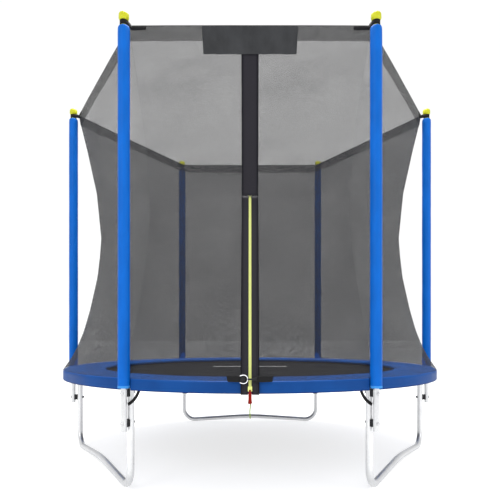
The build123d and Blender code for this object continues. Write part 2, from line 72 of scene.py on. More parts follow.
# Net
NET_CORNERS = [
    (0.5775, 1.2525), (0.581, 1.2515), (0.590, 1.247), (0.655, 1.221), (0.760, 1.203),
    (0.970, 1.142), (1.200, 1.090), (1.340, 1.073), (1.480, 1.062), (1.800, 1.094),
    (2.100, 1.160), (2.285, 1.206), (2.358, 1.219),
]
NET_BOTTOM = NET_CORNERS[0][0]
NET_TOP = NET_CORNERS[-1][0]
BAND_BOTTOM = 2.285
SEAM = 0.9995
PANEL_BOW = 0.003
NET_SLACK = 0.0035
NET_FLAT_HEIGHT = 1.86
BAND_FLAT_LENGTH = 7.3
WAIST = 0.924
WAIST_Z = 1.532
DOOR_RIM = 1.253
DOOR_RIM_Z = 0.575
NET_TURN = 0.583
DOOR_TILT = atan((DOOR_RIM - WAIST) / (WAIST_Z - DOOR_RIM_Z))
DOOR_UP = Vector((0, sin(DOOR_TILT), cos(DOOR_TILT)))
DOOR_OUT = Vector((0, -cos(DOOR_TILT), sin(DOOR_TILT)))
PANEL_ARC = ((DOOR_RIM - WAIST) ** 2 + (WAIST_Z - DOOR_RIM_Z) ** 2) / (2 * (DOOR_RIM - WAIST))

# Door
BAND_WIDTH = 0.088
BAND_LOW = 0.516
BAND_PART = 0.533
ZIP_LOW = 0.530
ZIP_HIGH = 1.528
ZIP_WIDTH = 0.0138
PIN_Z = 0.541
PIN_LIFT = 0.009
CORD_WIDTH = 0.006
BANNER_FLAT_HEIGHT = 0.136

# Snap ring and knob over the zip
STRAP_Z = 0.589
STRAP_FRONT = -1.2805
RING_CENTRE = -0.030
RING_REACH = 0.0195
RING_WIRE = 0.0021
KNOB_RADIUS = 0.0125

# Mat, springs and pad
MAT_RADIUS = 1.035
MAT_TOP = 0.5495
HEM_WIDTH = 0.035
SECTOR_COUNT = 12
SECTOR_DEGREES = 30
SECTOR_WIDTH = 0.54
V_RING_Z = 0.5437
V_RING_BAR = 1.060
SPRING_START = 1.084
SPRING_END = 1.180
SPRING_WIRE = 0.0016
SPRING_MEAN = 0.0064
HOOK_RADIUS = 0.0065
HOOK_HOLE = 1.207
PAD_INNER = 0.990
PAD_OUTER = 1.252
PAD_TOP = 0.578
PAD_THICKNESS = 0.025
PAD_EDGE = 0.012
SKIRT_TOP = PAD_TOP - PAD_EDGE
SKIRT_BOTTOM = 0.518
POLE_NOTCH = 0.036


# Materials


def linear(red, green, blue):
    """A colour from 0-255 display values."""
    channels = []
    for value in (red, green, blue):
        share = value / 255
        low = share / 12.92
        channels.append(low if share <= 0.04045 else ((share + 0.055) / 1.055) ** 2.4)
    return (*channels, 1.0)


def shade(colour, amount):
    return (*(channel * amount for channel in colour[:3]), 1.0)


class Finish:
    """One material's node tree, built with short calls."""

    def __init__(self, name, **sockets):
        self.material = bpy.data.materials.new(name)
        self.material.use_nodes = True
        self.tree = self.material.node_tree
        self.shader = self.tree.nodes["Principled BSDF"]
        for socket, value in sockets.items():
            self.put(self.shader.inputs[socket.replace("_", " ")], value)

    def put(self, socket, value):
        if isinstance(value, bpy.types.NodeSocket):
            self.tree.links.new(value, socket)
        else:
            socket.default_value = value

    def add(self, kind, inputs, **settings):
        made = self.tree.nodes.new("ShaderNode" + kind)
        for name, value in settings.items():
            setattr(made, name, value)
        for name, value in inputs.items():
            self.put(made.inputs[name], value)
        return made

    def place(self):
        return self.tree.nodes.new("ShaderNodeTexCoord").outputs["Object"]

    def cloth(self):
        """The flat cloth's own coordinates, in metres."""
        return self.tree.nodes.new("ShaderNodeUVMap").outputs["UV"]

    def axis(self, vector, name):
        return self.add("SeparateXYZ", {"Vector": vector}).outputs[name]

    def math(self, operation, first, second=0.0):
        return self.add("Math", {0: first, 1: second}, operation=operation).outputs[0]

    def plus(self, first, second):
        return self.math("ADD", first, second)

    def times(self, first, second):
        return self.math("MULTIPLY", first, second)

    def gap(self, first, second):
        return self.math("ABSOLUTE", self.math("SUBTRACT", first, second))

    def noise(self, vector, scale, detail=3.0, roughness=0.5):
        """Soft noise, of one scale or of one for each axis."""
        if isinstance(scale, tuple):
            mapping = self.add("Mapping", {"Vector": vector, "Scale": scale})
            vector, scale = mapping.outputs["Vector"], 1.0
        inputs = {"Vector": vector, "Scale": scale, "Detail": detail, "Roughness": roughness}
        return self.add("TexNoise", inputs).outputs["Fac"]

    def cells(self, vector, scale, output="Color"):
        return self.add("TexVoronoi", {"Vector": vector, "Scale": scale}).outputs[output]

    def band(self, vector, pitch, direction):
        """Waves with a pitch in metres, which for this node is tau / 20 / scale."""
        inputs = {"Vector": vector, "Scale": tau / 20 / pitch}
        return self.add("TexWave", inputs, bands_direction=direction).outputs["Fac"]

    def weave(self, vector, pitch, ratio=1.0):
        """Height of a plain weave: raised where warp and weft both crest."""
        warp = self.band(vector, pitch, "X")
        weft = self.band(vector, pitch * ratio, "Y")
        return self.times(warp, weft)

    def span(self, value, low, high, out_low=0.0, out_high=1.0):
        inputs = {
            "Value": value, "From Min": low, "From Max": high,
            "To Min": out_low, "To Max": out_high,
        }
        node = self.add("MapRange", inputs, interpolation_type="SMOOTHSTEP")
        return node.outputs["Result"]

    def blend(self, factor, low, high):
        """A colour between two others."""
        node = self.add("Mix", {0: factor}, data_type="RGBA")
        self.put(node.inputs[6], low)
        self.put(node.inputs[7], high)
        return node.outputs[2]

    def bump(self, height, distance, strength=1.0):
        inputs = {"Height": height, "Distance": distance, "Strength": strength}
        self.put(self.shader.inputs["Normal"], self.add("Bump", inputs).outputs["Normal"])

    def colour(self, factor, low, high):
        self.put(self.shader.inputs["Base Color"], self.blend(factor, low, high))

    def rough(self, *span):
        self.put(self.shader.inputs["Roughness"], self.span(*span))


def fabric(name, gloss, sheen, rough=0.5):
    return Finish(name, Specular_IOR_Level=gloss, Sheen_Weight=sheen, Sheen_Roughness=rough)


def galvanised(name, bright, dull, spangle):
    """Zinc on steel tube: soft spangle, faint draw lines and dulled patches."""
    made = Finish(name, Metallic=0.82)
    place = made.place()
    cells = made.axis(made.cells(place, spangle), "X")
    patches = made.noise(place, 9.0, 4.0)
    grain = made.noise(place, (260.0, 260.0, 14.0), 2.0)
    mixed = made.plus(made.times(cells, 0.2), made.times(patches, 0.8))
    made.colour(made.span(mixed, 0.25, 0.75), dull, bright)
    made.rough(made.plus(patches, made.times(cells, 0.3)), 0.3, 0.9, 0.3, 0.42)
    made.bump(made.plus(made.times(cells, 0.5), grain), 0.00012, 0.5)
    return made.material


def plastic(name, base, roughness, grain=900.0, wear=0.8, gloss=0.35):
    """Moulded plastic: fine spark-eroded grain and faintly uneven colour."""
    made = Finish(name, Specular_IOR_Level=gloss)
    place = made.place()
    made.colour(made.noise(place, 40.0), shade(base, wear), shade(base, 1.12))
    made.rough(made.noise(place, 60.0), 0.3, 0.7, roughness - 0.06, roughness + 0.08)
    made.bump(made.noise(place, grain, 2.0), 0.0001, 0.5)
    return made.material


def webbing(name, base, pitch, roughness=0.72, contrast=0.55):
    """Woven strap: ribs along its length crossed by the weft."""
    made = fabric(name, 0.12, 0.015)
    cloth = made.cloth()
    ribs = made.weave(cloth, pitch, 0.7)
    worn = made.noise(made.place(), 30.0)
    mixed = made.plus(made.times(ribs, 0.6), made.times(worn, 0.4))
    made.colour(mixed, shade(base, 1 - contrast), shade(base, 1 + contrast))
    made.rough(worn, 0.3, 0.7, roughness - 0.07, roughness + 0.07)
    made.bump(ribs, 0.0004, 0.7)
    return made.material


def strap_cloth(name, base):
    """Woven strap on a piece without cloth coordinates."""
    made = fabric(name, 0.12, 0.015)
    place = made.place()
    ribs = made.times(made.band(place, 0.002, "Z"), made.band(place, 0.0028, "X"))
    worn = made.noise(place, 35.0)
    made.colour(made.times(ribs, worn), shade(base, 0.6), shade(base, 1.9))
    made.rough(worn, 0.3, 0.7, 0.62, 0.8)
    made.bump(ribs, 0.0004, 0.6)
    return made.material


def net_cloth(name, opacity, hole=0.0042, binding=None):
    """Knitted polyester mesh: small diamond holes between dark matt yarns."""
    made = Finish(name, Roughness=0.62, Specular_IOR_Level=0.06)
    cloth = made.cloth()
    across, along = made.axis(cloth, "X"), made.axis(cloth, "Y")
    wide, tall = made.math("DIVIDE", across, 0.8 * hole), made.math("DIVIDE", along, hole)
    slants = [made.math(way, wide, tall) for way in ("ADD", "SUBTRACT")]
    sines = [made.math("SINE", made.times(slant, pi)) for slant in slants]
    clear = made.math("MINIMUM", *(made.math("ABSOLUTE", sine) for sine in sines))
    drift = made.noise(cloth, (1.6, 5.0, 1.0), 4.0, 0.6)
    edge = made.span(drift, 0.2, 0.8, opacity - 0.05, opacity + 0.05)
    yarn = made.math("SUBTRACT", clear, edge)
    cover = made.span(yarn, -0.12, 0.12, 0.97, 0.02)
    if binding:
        cover = made.math("MAXIMUM", cover, made.span(along, binding - 0.001, binding, 0.0, 0.93))
    made.put(made.shader.inputs["Alpha"], cover)
    made.colour(drift, (0.015, 0.015, 0.016, 1.0), (0.024, 0.024, 0.026, 1.0))
    made.bump(clear, 0.0004, 0.4)
    return made.material


def coated_cloth(name, base, pitch, roughness, contrast=0.2, fold=0.0006):
    """Woven polyester with a thin coating, creased a little, its colour darker in the crease
    hollows and lighter on the ridges: painted shade.
    """
    made = fabric(name, 0.12, 0.02, 0.45)
    cloth = made.cloth()
    threads = made.weave(cloth, pitch)
    creases = made.noise(cloth, (9.0, 5.0, 1.0), 5.0, 0.55)
    # Colour from the crease height: painted shade in the hollows, lighter on the ridges.
    tone = made.span(creases, 0.25, 0.75)
    made.colour(tone, shade(base, 1 - contrast), shade(base, 1 + contrast))
    made.rough(creases, 0.3, 0.7, roughness - 0.07, roughness + 0.07)
    height = made.plus(made.times(threads, 0.25), made.times(creases, 2.0))
    made.bump(height, fold, 0.7)
    return made.material


def sewn_strip(name, base, edge, width, hem):
    """A strip of cloth with a darker folded hem and a stitch line down each side."""
    made = fabric(name, 0.1, 0.01)
    cloth = made.cloth()
    side = made.gap(made.axis(cloth, "X"), width / 2)
    folded = made.span(side, width / 2 - hem - 0.001, width / 2 - hem + 0.001)
    dash = made.span(made.band(cloth, 0.004, "Y"), 0.35, 0.5)
    line = made.gap(side, width / 2 - 0.7 * hem)
    stitch = made.times(made.span(line, 0.0011, 0.0006), dash)
    worn = made.noise(cloth, (30.0, 8.0, 1.0), 4.0)
    plain = made.blend(worn, shade(base, 0.8), shade(base, 1.2))
    hemmed = made.blend(folded, plain, made.blend(worn, shade(edge, 0.8), shade(edge, 1.3)))
    made.colour(stitch, hemmed, shade(base, 1.9))
    made.rough(worn, 0.3, 0.7, 0.6, 0.76)
    threads = made.weave(cloth, 0.0016)
    height = made.plus(made.times(threads, 0.3), made.times(folded, 2.0))
    height = made.math("SUBTRACT", height, made.times(stitch, 0.8))
    made.bump(height, 0.0004, 0.8)
    return made.material


def vinyl(name, base, dark):
    """PVC coated cloth over foam: pebbled and creased, with a soft gloss."""
    made = Finish(name, Specular_IOR_Level=0.08, Coat_Weight=0.02, Coat_Roughness=0.35)
    place = made.place()
    tone = made.noise(place, 4.0, 4.0)
    pebble = made.cells(place, 420.0, "Distance")
    made.colour(made.span(tone, 0.25, 0.75), dark, base)
    made.rough(tone, 0.3, 0.7, 0.42, 0.56)
    crease = made.noise(place, 22.0, 5.0, 0.6)
    made.bump(made.plus(pebble, made.times(crease, 4.0)), 0.0004, 0.6)
    return made.material


def sleeve_cloth():
    """Woven sleeve over foam, faintly glossy, with creases that run round it."""
    made = Finish("sleeve_cloth", Specular_IOR_Level=0.1)
    cloth = made.cloth()
    tone = made.noise(cloth, (14.0, 5.0, 1.0), 5.0, 0.55)
    base = linear(4, 90, 178)
    made.colour(made.span(tone, 0.25, 0.75), shade(base, 0.84), shade(base, 1.06))
    made.rough(tone, 0.3, 0.7, 0.4, 0.54)
    threads = made.weave(cloth, 0.0012)
    crease = made.noise(cloth, (20.0, 60.0, 1.0), 3.0)
    made.bump(made.plus(made.times(threads, 0.2), crease), 0.0007, 0.5)
    return made.material


def mat_cloth():
    """Tight black twill with a printed pale bar across the mat."""
    made = fabric("mat_cloth", 0.1, 0.01)
    place = made.place()
    across, along = made.axis(place, "X"), made.axis(place, "Y")
    ends = made.span(made.math("ABSOLUTE", across), 0.286, 0.280)
    bar = made.times(ends, made.span(made.gap(along, 0.31), 0.036, 0.034))
    twill = made.band(place, 0.0025, "DIAGONAL")
    tapes = made.weave(place, 0.0032)
    worn = made.noise(place, 3.0, 5.0, 0.6)
    streak = made.noise(place, (2.0, 40.0, 1.0), 3.0)
    tone = made.plus(made.times(worn, 0.7), made.times(streak, 0.3))
    worn_tone = made.span(tone, 0.3, 0.7)
    base = made.blend(worn_tone, (0.006, 0.006, 0.007, 1.0), (0.012, 0.012, 0.0135, 1.0))
    printed = made.blend(worn_tone, (0.34, 0.34, 0.34, 1.0), (0.46, 0.46, 0.46, 1.0))
    made.colour(bar, base, printed)
    made.rough(worn, 0.3, 0.7, 0.55, 0.7)
    made.bump(made.plus(tapes, made.times(twill, 0.4)), 0.0004, 0.6)
    return made.material


def braid(name, base):
    """Braided cord: strands that cross."""
    made = fabric(name, 0.15, 0.03)
    place = made.place()
    strands = made.times(made.band(place, 0.003, "Z"), made.band(place, 0.0022, "X"))
    worn = made.noise(place, 120.0)
    mixed = made.plus(made.times(strands, 0.7), made.times(worn, 0.3))
    made.colour(mixed, shade(base, 0.6), shade(base, 1.25))
    made.rough(worn, 0.3, 0.7, 0.6, 0.8)
    made.bump(strands, 0.0004, 0.7)
    return made.material


NET_DENSITY = 0.66
GALVANISED = galvanised("galvanised", (0.68, 0.685, 0.69, 1.0), (0.57, 0.575, 0.585, 1.0), 90.0)
POLE_STEEL = galvanised("pole_steel", (0.62, 0.625, 0.63, 1.0), (0.52, 0.525, 0.535, 1.0), 120.0)
SPRING_ZINC = galvanised("spring_zinc", (0.66, 0.67, 0.69, 1.0), (0.42, 0.43, 0.45, 1.0), 400.0)
BOLT_ZINC = galvanised("bolt_zinc", (0.6, 0.6, 0.61, 1.0), (0.42, 0.42, 0.43, 1.0), 300.0)
NUT_ZINC = galvanised("nut_zinc", (0.09, 0.09, 0.1, 1.0), (0.04, 0.04, 0.045, 1.0), 300.0)
SLIDER_LACQUER = plastic("slider_lacquer", linear(196, 202, 118), 0.3, 1200.0, 0.86)
NET = net_cloth("net_mesh", NET_DENSITY)
NET_HEM = net_cloth("net_hem", 0.58, 0.0024, 0.070)
SLEEVE = sleeve_cloth()
SLEEVE_TRIM = webbing("sleeve_trim", linear(58, 136, 208), 0.0014, 0.6, 0.2)
VINYL = vinyl("pad_vinyl", linear(20, 88, 168), linear(13, 74, 150))
# A darker copy of the pad's vinyl: painted shade on the skirt's less-lit side.
SKIRT_VINYL_PAINTED_SHADE = vinyl("skirt_vinyl_painted_shade", linear(12, 64, 127), linear(8, 54, 112))
PIPING = vinyl("pad_piping", linear(13, 42, 104), linear(7, 28, 78))
MAT = mat_cloth()
MAT_WEBBING = webbing("mat_webbing", (0.018, 0.018, 0.019, 1.0), 0.003)
BLACK_WEBBING = webbing("black_webbing", (0.011, 0.011, 0.012, 1.0), 0.002)
DOOR_CLOTH = sewn_strip("door_cloth", linear(36, 35, 40), linear(20, 19, 24), BAND_WIDTH, 0.013)
BANNER_CLOTH = coated_cloth("banner_cloth", linear(49, 50, 52), 0.0014, 0.62, 0.3, 0.0009)
ZIP_TAPE = webbing("zip_tape", linear(190, 196, 118), 0.0012, 0.6, 0.12)
ZIP_TEETH = plastic("zip_teeth", linear(200, 206, 130), 0.35, 1500.0, 0.9)
RED_WEBBING = webbing("red_webbing", linear(126, 18, 4), 0.0018, 0.65, 0.3)
CORD_BRAID = braid("cord_braid", linear(128, 146, 66))
YELLOW_PLASTIC = plastic("yellow_plastic", linear(178, 180, 8), 0.42)
BLACK_PLASTIC = plastic("black_plastic", (0.010, 0.010, 0.012, 1.0), 0.5, gloss=0.2)
WHITE_PLASTIC = plastic("white_plastic", (0.78, 0.78, 0.82, 1.0), 0.36, 900.0, 0.94)
STRAP_CLOTH = strap_cloth("strap_cloth", (0.012, 0.012, 0.013, 1.0))


# Meshes


def polar(radius, angle, z=0.0):
    return Vector((radius * cos(angle), radius * sin(angle), z))


def wobble(x, y, z):
    """Smooth noise at a place, the same in each run."""
    return noise.noise(Vector((x, y, z)))


def link(name, data):
    item = bpy.data.objects.new(name, data)
    bpy.context.scene.collection.objects.link(item)
    return item


def new_piece(name, points, faces, materials, coordinates=None):
    """A smooth-shaded mesh object. Coordinates are one (u, v) for each point."""
    mesh = bpy.data.meshes.new(name)
    mesh.from_pydata([tuple(point) for point in points], [], faces)
    for material in materials if isinstance(materials, list) else [materials]:
        mesh.materials.append(material)
    if coordinates:
        layer = mesh.uv_layers.new(name="cloth")
        for loop in mesh.loops:
            layer.data[loop.index].uv = coordinates[loop.vertex_index]
    mesh.shade_smooth()
    mesh.update()
    return link(name, mesh)


def lattice(columns, rows, wrap=False):
    """Quads of a grid with columns + 1 points to a row, or columns if it wraps."""
    width = columns if wrap else columns + 1
    faces = []
    for row in range(rows):
        for column in range(columns):
            near, far = column, (column + 1) % width
            low, high = row * width, (row + 1) * width
            faces.append((low + near, low + far, high + far, high + near))
    return faces


def sheet_piece(name, place, columns, rows, size, material):
    """A sheet through place(across, up), both from 0 to 1, cut to size before it was hung."""
    points, coordinates = [], []
    for row in range(rows + 1):
        for column in range(columns + 1):
            across, up = column / columns, row / rows
            points.append(place(across, up))
            coordinates.append((across * size[0], up * size[1]))
    return new_piece(name, points, lattice(columns, rows), material, coordinates)


def thicken(piece, thickness, offset=0.0):
    """Makes a sheet solid: half to each side, or at 1 all to the side its faces look to."""
    modifier = piece.modifiers.new("thickness", "SOLIDIFY")
    modifier.thickness = thickness
    modifier.offset = offset


def soften(piece, width):
    modifier = piece.modifiers.new("edges", "BEVEL")
    modifier.width = width
    modifier.segments = 2
    modifier.limit_method = "ANGLE"


def tube(path, radius, sides=6, closed=False):
    """Points and faces of a round tube that follows a path."""
    count = len(path)
    points, side = [], None
    for k, centre in enumerate(path):
        before = path[k - 1] if closed or k else centre
        after = path[(k + 1) % count] if closed or k + 1 < count else centre
        along = (after - before).normalized()
        if side is None:
            side = along.orthogonal().normalized()
        side = (side - along * side.dot(along)).normalized()
        other = along.cross(side)
        for step in range(sides):
            turn = tau * step / sides
            points.append(centre + radius * (cos(turn) * side + sin(turn) * other))
    faces = lattice(sides, count - 1, wrap=True)
    if closed:
        low = (count - 1) * sides
        for near in range(sides):
            far = (near + 1) % sides
            faces.append((low + near, low + far, far, near))
    else:
        faces.append(tuple(reversed(range(sides))))
        faces.append(tuple(range((count - 1) * sides, count * sides)))
    return points, faces


def gather(parts):
    """One list of points and one of faces from several."""
    points, faces = [], []
    for more_points, more_faces in parts:
        start = len(points)
        points.extend(more_points)
        faces.extend(tuple(index + start for index in face) for face in more_faces)
    return points, faces


def steps(first, last, count):
    """Even steps from first to last, both of them included."""
    return [first + (last - first) * k / count for k in range(count + 1)]


def turned(points, angle):
    turn = Matrix.Rotation(angle, 3, "Z")
    return [turn @ point for point in points]


def revolved(profile, columns, centre=Vector((0, 0, 0)), shape=None):
    """Points and faces of an outline of (radius, z) turned about an upright axis."""
    points = []
    for radius, z in profile:
        for column in range(columns):
            turn = tau * column / columns
            reach = shape(radius, turn, z) if shape else radius
            points.append(centre + polar(reach, turn, z))
    return points, lattice(columns, len(profile) - 1, wrap=True)


def ride(piece, slot, *replaced, body="frame"):
    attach(piece, body)
    if replaced:
        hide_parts(*replaced)


# Net shape


def corner_radius(z):
    """Distance of the net's corner seams from the trampoline's axis."""
    for (low, near), (high, far) in zip(NET_CORNERS, NET_CORNERS[1:]):
        if z <= high:
            return near + (far - near) * (z - low) / (high - low)
    return NET_CORNERS[-1][1]


def taut_radius(z):
    return corner_radius(z) * cos(PITCH / 2) + PANEL_BOW


def middle_radius(z):
    """Distance of a plain panel's middle line from the axis."""
    if z < NET_TURN:
        return corner_radius(z)
    if z > WAIST_Z:
        return taut_radius(z)
    arc = WAIST + PANEL_ARC - sqrt(PANEL_ARC**2 - (z - WAIST_Z) ** 2)
    return max(taut_radius(z), arc)


def door_radius(z):
    """Distance of the door panel's middle line from the axis."""
    if z > WAIST_Z:
        return taut_radius(z)
    slope = (DOOR_RIM - WAIST) / (WAIST_Z - DOOR_RIM_Z)
    return WAIST + slope * (WAIST_Z - z)


def net_point(share, z, lift=0.0, middle_line=middle_radius):
    """A point of a panel that faces +X, at a share of its half width."""
    corner, middle = corner_radius(z), middle_line(z)
    half = corner * sin(PITCH / 2)
    bow = middle - corner * cos(PITCH / 2)
    arc = (half**2 + bow**2) / (2 * bow)
    turn = asin(half / arc) * share
    return Vector((middle - arc + (arc + lift) * cos(turn), (arc + lift) * sin(turn), z))


def slack(point, share):
    """How far the net stands off its taut shape: long soft folds, none at its seams."""
    ends = min(1.0, (NET_TOP - point.z) / 0.2, (point.z - NET_BOTTOM) / 0.1 + 0.05)
    folds = wobble(point.x * 2.2, point.y * 2.2, point.z * 3.5)
    return NET_SLACK * (1 - abs(share)) * ends * folds


def net_panel(name, first, last, angle, middle_line=middle_radius):
    turn = Matrix.Rotation(angle, 3, "Z")
    width = (last - first) / 2 * PITCH * NET_CORNERS[0][1]
    size = (width, NET_FLAT_HEIGHT)

    def place(across, up):
        share = first + (last - first) * across
        z = NET_BOTTOM + (NET_TOP - NET_BOTTOM) * up
        flat = turn @ net_point(share, z, -0.001, middle_line)
        lift = -0.001 + slack(flat, share if last - first > 1 else 1 - 0.4 * abs(share))
        return turn @ net_point(share, z, lift, middle_line)

    piece = sheet_piece(f"net_{name}", place, round(30 * (last - first)), 110, size, NET)
    ride(piece, "net_mesh", f"net_panel_{name}")
    piece.visible_shadow = False


def net_pieces():
    for name, angle in PANEL_ANGLES.items():
        net_panel(name, -SEAM, SEAM, angle)
    net_panel("door_left", -SEAM, SEAM - 1, DOOR_ANGLE, door_radius)
    net_panel("door_right", 1 - SEAM, SEAM, DOOR_ANGLE, door_radius)


def top_band():
    """The folded hem round the net's top edge."""
    height = NET_TOP - BAND_BOTTOM
    count, rows = 12, 4
    columns = 6 * count

    def place(across, up):
        panel, step = divmod(round(across * columns), count)
        turn = Matrix.Rotation(POLE_ANGLES[panel % 6] + PITCH / 2, 3, "Z")
        share = 2 * step / count - 1
        z = BAND_BOTTOM + height * up
        ripple = 0.0012 * (1 - share**2) * wobble(share * 3, panel % 6, z * 9)
        return turn @ net_point(share, z, 0.0018 + ripple)

    piece = sheet_piece("net_top_hem", place, columns, rows, (BAND_FLAT_LENGTH, height), NET_HEM)
    ride(piece, "dark_band", "net_top_band")


# Door


def on_door(x, z, lift):
    """A point on the door's straight face: x across, at a height of its line, so far out."""
    along = (z - WAIST_Z) / cos(DOOR_TILT)
    return Vector((x, -WAIST, WAIST_Z)) + along * DOOR_UP + lift * DOOR_OUT


def on_net_front(x, z, lift):
    """A point over the middle of the door's panel above its waist."""
    share = x / (corner_radius(z) * sin(PITCH / 2))
    return Matrix.Rotation(DOOR_ANGLE, 3, "Z") @ net_point(share, z, lift)


def door_bands():
    """Stiff cloth beside the zip on each side, joined above it up to the top band."""
    half = BAND_WIDTH / 2
    heights = steps(BAND_LOW, BAND_PART, 8)[:-1] + steps(BAND_PART, WAIST_Z, 60)
    parts, coordinates = [], []
    length = (WAIST_Z - BAND_LOW) / cos(DOOR_TILT)
    for side in (-1, 1):
        points = []
        for z in heights:
            inner = 0.0006 + 0.0085 * min(1.0, max(0.0, (BAND_PART - z) / 0.005))
            for column in range(5):
                x = side * (inner + (half - inner) * column / 4)
                wave = 0.0004 * wobble(x * 20, z * 6, 3.0)
                points.append(on_door(x, z, 0.0012 + wave))
                coordinates.append((half + x, (z - BAND_LOW) / cos(DOOR_TILT)))
        parts.append((points, lattice(4, len(heights) - 1)))
    top, points = BAND_BOTTOM - 0.001, []
    for row in range(31):
        z = WAIST_Z + 0.001 + (top - WAIST_Z - 0.001) * row / 30
        for column in range(9):
            x = half * (column / 4 - 1)
            wave = 0.0004 * wobble(x * 20, z * 6, 3.0)
            points.append(on_net_front(x, z, 0.0012 + wave))
            coordinates.append((half + x, length + (top - WAIST_Z) * row / 30))
    parts.append((points, lattice(8, 30)))
    piece = new_piece("door_strip", *gather(parts), DOOR_CLOTH, coordinates)
    thicken(piece, 0.0013)
    ride(piece, "black_webbing", "door_bands")


def tooth(z, side):
    """One moulded tooth of the zip, its head over the middle line."""
    reach, half = 0.0034, 0.0007
    outline = [(-0.0010, 0.9), (0.0002, 1.25), (0.0016, 0.8), (reach, 0.6)]
    points = []
    for lift in (0.0026, 0.0037):
        for x, wide in outline:
            for way in (-1, 1):
                squeeze = 0.75 if lift > 0.003 else 1.0
                points.append(on_door(side * x, z + way * half * wide * squeeze, lift))
    faces = []
    for k in range(3):
        a = 2 * k
        faces.append((a + 8, a + 10, a + 11, a + 9))
        faces.append((a, a + 2, a + 10, a + 8))
        faces.append((a + 1, a + 9, a + 11, a + 3))
    faces.append((0, 8, 9, 1))
    faces.append((6, 7, 15, 14))
    return points, faces


def zip_pieces():
    """Two tapes with their moulded teeth, and the stop at the top."""
    half = ZIP_WIDTH / 2
    length = (ZIP_HIGH - ZIP_LOW) / cos(DOOR_TILT)
    points, coordinates = [], []
    side = [(half, 0.0024), (0.0045, 0.0026), (0.0035, 0.0030)]
    profile = [(-x, lift) for x, lift in side] + list(reversed(side))
    rows = 60
    for row in range(rows + 1):
        z = ZIP_LOW + (ZIP_HIGH - ZIP_LOW) * row / rows
        for x, lift in profile:
            near_top = max(0.0, 1 - (ZIP_HIGH - z) / 0.01)
            points.append(on_door(x * (1 - 0.35 * near_top), z, lift - 0.0002))
            coordinates.append((x + half, length * row / rows))
    tape = new_piece("zip_tapes", points, lattice(len(profile) - 1, rows), ZIP_TAPE, coordinates)
    thicken(tape, 0.0006)
    ride(tape, "zip_yellow", "zip_tape")
    pitch = 0.0030
    count = int((ZIP_HIGH - ZIP_LOW - 0.012) / pitch)
    teeth = []
    for k in range(count):
        for side in (-1, 1):
            teeth.append(tooth(ZIP_LOW + 0.004 + (k + (0.5 if side > 0 else 0)) * pitch, side))
    chain = new_piece("zip_teeth", *gather(teeth), ZIP_TEETH)
    chain.data.shade_flat()
    ride(chain, "zip_yellow")
    stop = []
    for turn in steps(0, pi, 12):
        stop.append(on_door(0.0062 * cos(turn), ZIP_HIGH + 0.001 + 0.005 * sin(turn), 0.0036))
    end = new_piece("zip_top_stop", *tube(stop, 0.0012, 6), ZIP_TEETH)
    ride(end, "zip_yellow")


def banner():
    """A plain stiffened panel over the door, creased and tapering a little downwards."""
    low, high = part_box("banner")
    half = high.x
    top = high.z - 0.007
    height = top - low.z
    top_y = -(middle_radius(top) + 0.0078)
    low_y = -(middle_radius(low.z) + 0.0078)

    def place(across, up):
        hang = 1 - up
        x = (2 * across - 1) * (half - 0.006 * hang)
        z = low.z + height * up + 0.0015 * hang * wobble(across * 7, 0.3, 1.0)
        sharp = wobble(across * 14, up * 5, 2.0) ** 3
        crease = 0.0022 * wobble(across * 6, up * 3, 5.0) + 0.004 * sharp
        free = min(1.0, 0.15 + hang * 2.5)
        y = top_y * up + low_y * hang - 0.0012 - crease * free
        return Vector((x, y, max(z, low.z)))

    piece = sheet_piece("banner_cloth", place, 96, 30, (2 * half, BANNER_FLAT_HEIGHT), BANNER_CLOTH)
    thicken(piece, 0.0012)
    ride(piece, "banner_cloth", "banner")


def zip_pull():
    """Red webbing folded round the slider's pin, its two ends spread apart lower down."""
    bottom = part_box("zip_pull")[0].z
    half, eye = 0.008, 0.0024
    pin = on_door(0, PIN_Z, PIN_LIFT) - DOOR_UP * 0.008
    length = (pin.z - 0.003 - bottom) / DOOR_UP.z - 0.004
    path = []
    for side in (1, -1):
        leg = []
        for k in range(15):
            share = (k / 14) ** 1.6
            reach = 0.0027 + (length - 0.0027) * share
            spread = 0.0006 + 0.0022 * max(0.0, share - 0.55) / 0.45
            leg.append((reach, side * spread, share))
        path.extend(reversed(leg) if side > 0 else leg)
        if side > 0:
            for angle in steps(radians(-50), radians(230), 12):
                path.append((-eye * sin(angle), eye * cos(angle), 0.0))
    points, coordinates, run = [], [], 0.0
    for index, (reach, lift, share) in enumerate(path):
        narrow = min(half, 0.0048 + max(0.0, share - 0.1) * 0.09)
        tail = 0.0028 * max(0.0, share - 0.62) / 0.38
        lean = tail if index < len(path) / 2 else -tail
        for column in range(9):
            x = narrow * (column / 4 - 1)
            cut = -0.0018 * (x / half) * (1 if lean > 0 else -1) if share > 0.98 else 0.0
            aside = Vector((x * (1 - 18 * abs(lean)) + lean, 0, 0))
            points.append(pin - DOOR_UP * (reach + cut) + DOOR_OUT * lift + aside)
            coordinates.append((x + half, run))
        run += length / 15
    faces = lattice(8, len(path) - 1)
    piece = new_piece("zip_pull_webbing", points, faces, RED_WEBBING, coordinates)
    thicken(piece, 0.0009)
    ride(piece, "red_webbing", "zip_pull", body="pull")


